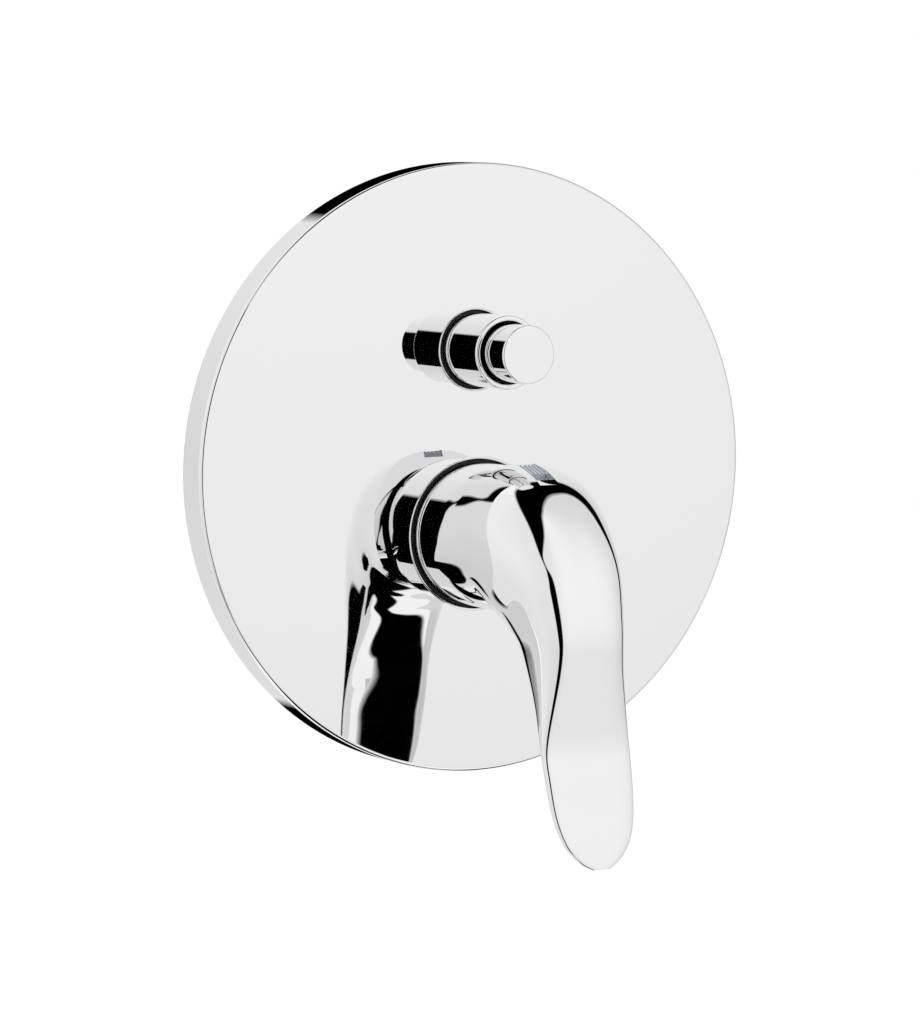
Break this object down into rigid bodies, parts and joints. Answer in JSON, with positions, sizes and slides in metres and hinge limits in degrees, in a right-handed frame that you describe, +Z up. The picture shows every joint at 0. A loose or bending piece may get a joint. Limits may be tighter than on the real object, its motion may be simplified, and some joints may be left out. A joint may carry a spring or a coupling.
{
  "type": "concealed shower mixer",
  "caption": "Concealed shower mixer: round polished cover plate, sculpted lever on a domed sleeve, pull-out diverter knob in a collar, brass body and ceramic-disc cartridge behind it.",
  "frame": {"origin": "centre of the cover plate on the finished wall, in the back face of the plate's gasket", "axes": "+X to the user's right, +Z up, +Y into the wall; the lever and the knob stand out along -Y"},
  "size_m": [0.18, 0.1343, 0.1988],
  "materials": {
    "chrome": "mirror-polished chrome plating",
    "brass_casting": "as-cast and machined brass",
    "brass_turned": "turned brass",
    "black_nickel": "turned brass with black nickel plating",
    "black_rubber": "matt black rubber",
    "grey_gasket": "matt dark grey foam rubber",
    "white_plastic": "satin white moulding",
    "blue_grey_plastic": "satin blue-grey moulding",
    "grey_plug": "satin grey moulding",
    "ceramic": "lapped alumina",
    "steel": "plain stainless steel"
  },
  "bodies": {
    "wall_unit": {"mixer_body": "brass_casting", "cover_plate": "chrome", "plate_gasket": "grey_gasket", "lever_sleeve": "chrome", "sleeve_o_ring": "black_rubber", "diverter_collar": "chrome", "collar_o_ring": "black_rubber", "cartridge_nut": "brass_turned", "cartridge_housing": "white_plastic", "cartridge_base": "white_plastic", "base_port_seals": "black_rubber", "fixed_disc": "ceramic", "diverter_bonnet": "black_nickel", "bonnet_o_ring": "black_rubber", "rod_seal": "black_rubber", "diverter_spring": "steel"},
    "turret": {"cartridge_turret": "blue_grey_plastic", "stem_pivot_pin": "steel"},
    "lever": {"cartridge_stem": "brass_turned", "lever_handle": "chrome", "index_plug": "grey_plug", "lever_set_screw": "steel"},
    "disc_slide": {"disc_carrier": "blue_grey_plastic", "moving_disc": "ceramic"},
    "diverter": {"diverter_knob": "chrome", "diverter_rod": "brass_turned", "diverter_spool": "brass_turned", "spool_seals": "black_rubber"}
  },
  "joints": [
    {"name": "lever_swivel", "type": "hinge", "parent": "wall_unit", "child": "turret", "pos_m": [0, 0, -0.0194], "axis": [0, -1, 0], "range_deg": [-45, 45]},
    {"name": "lever_tilt", "type": "hinge", "parent": "turret", "child": "lever", "pos_m": [0, -0.026, -0.0194], "axis": [-1, 0, 0], "range_deg": [0, 25]},
    {"name": "disc_travel", "type": "slide", "parent": "turret", "child": "disc_slide", "axis": [0, 0, -1], "range_m": [0, 0.0053]},
    {"name": "diverter_pull", "type": "slide", "parent": "wall_unit", "child": "diverter", "axis": [0, -1, 0], "range_m": [0, 0.01], "stiffness_N_per_m": 400, "springref_m": -0.005, "deforming": ["diverter_spring"]}
  ],
  "couplings": [
    {"joint": "disc_travel", "follows": "lever_tilt", "m_per_rad": 0.01175}
  ]
}
